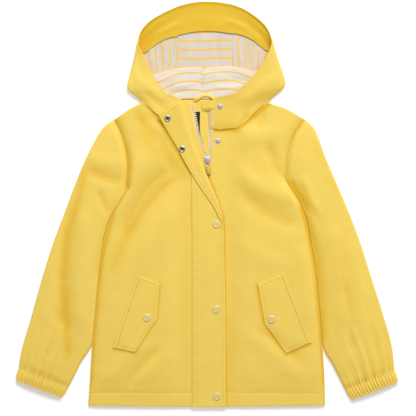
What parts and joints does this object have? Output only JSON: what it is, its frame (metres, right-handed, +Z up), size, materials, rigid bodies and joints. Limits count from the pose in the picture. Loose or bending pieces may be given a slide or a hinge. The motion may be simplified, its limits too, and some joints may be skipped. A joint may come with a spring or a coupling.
{
  "type": "kids raincoat, laid flat",
  "caption": "Child's hooded raincoat laid flat on its back, zip partly open, storm flap turned back, striped hood lining and gathered cuffs.",
  "frame": {"origin": "on the surface the coat lies on, under the middle of its bounding box", "axes": "+X across the coat to its right as seen from above, +Y from hem to hood, +Z up, out of the front"},
  "size_m": [0.6682, 0.71, 0.0185],
  "materials": {
    "coated_cloth": "yellow coated rainwear cloth, soft satin",
    "striped_lining": "off-white jersey with narrow yellow stripes",
    "label": "plain black woven label",
    "zip_tape": "woven yellow zip tape with coil teeth",
    "snap_cap": "pale gold lacquered press stud",
    "silver_metal": "nickel plated"
  },
  "bodies": {
    "root": {"back": "coated_cloth", "left_front": "coated_cloth", "right_front": "coated_cloth", "sleeve_left": "coated_cloth", "sleeve_right": "coated_cloth", "cuff_left": "coated_cloth", "cuff_right": "coated_cloth", "hood_left": "coated_cloth", "hood_right": "coated_cloth", "hood_centre": "coated_cloth", "hood_facing": "coated_cloth", "lining_left": "striped_lining", "lining_right": "striped_lining", "lining_centre": "striped_lining", "lining_neck": "striped_lining", "neck_strip": "coated_cloth", "neck_label": "label", "hanger_loop": "coated_cloth", "storm_flap": "coated_cloth", "storm_flap_turned": "coated_cloth", "zip_tape_left": "zip_tape", "zip_tape_right": "zip_tape", "zip_guard": "coated_cloth", "zip_slider": "silver_metal", "pocket_flap_left": "coated_cloth", "pocket_flap_right": "coated_cloth", "pocket_welt_left": "coated_cloth", "pocket_welt_right": "coated_cloth", "snap_cap_top": "snap_cap", "snap_cap_middle": "snap_cap", "snap_cap_bottom": "snap_cap", "snap_cap_pocket_left": "snap_cap", "snap_cap_pocket_right": "snap_cap", "snap_stud_neck": "silver_metal", "snap_stud_chest": "silver_metal", "snap_socket_neck": "silver_metal", "snap_socket_chest": "silver_metal"},
    "pull": {"zip_pull": "silver_metal", "zip_grip": "zip_tape"}
  },
  "joints": [
    {"name": "zip_pull_hinge", "type": "hinge", "parent": "root", "child": "pull", "pos_m": [0.0005, 0.0785, 0.00685], "axis": [-1, 0, 0], "range_deg": [0, 150]}
  ]
}
